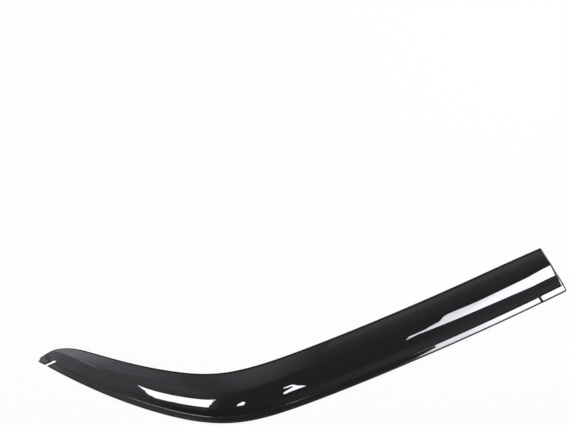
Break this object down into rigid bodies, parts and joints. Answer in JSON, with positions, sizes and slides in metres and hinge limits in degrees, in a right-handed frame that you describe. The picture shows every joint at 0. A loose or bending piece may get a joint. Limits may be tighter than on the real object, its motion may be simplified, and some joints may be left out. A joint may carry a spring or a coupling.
{
  "type": "window rain deflector",
  "caption": "Smoked acrylic side window rain deflector for a front door: curved blade with a taped flange, a slotted tip pad and a closed rear end.",
  "frame": {"origin": "middle of the outline in X and Y, at the level of the adhesive side that lies on the door frame", "axes": "+X along the straight rear run towards the rear end, +Y from the mounting edge towards the free edge, +Z outward from the car"},
  "size_m": [1.0006, 0.3108, 0.0171],
  "materials": {
    "smoked_acrylic": "polished dark smoke, nearly black where it lies on a solid ground",
    "foam": "matt closed-cell foam",
    "liner_film": "satin film"
  },
  "bodies": {
    "root": {"visor": "smoked_acrylic", "foam_tape": "foam", "release_liner": "liner_film"}
  },
  "joints": []
}
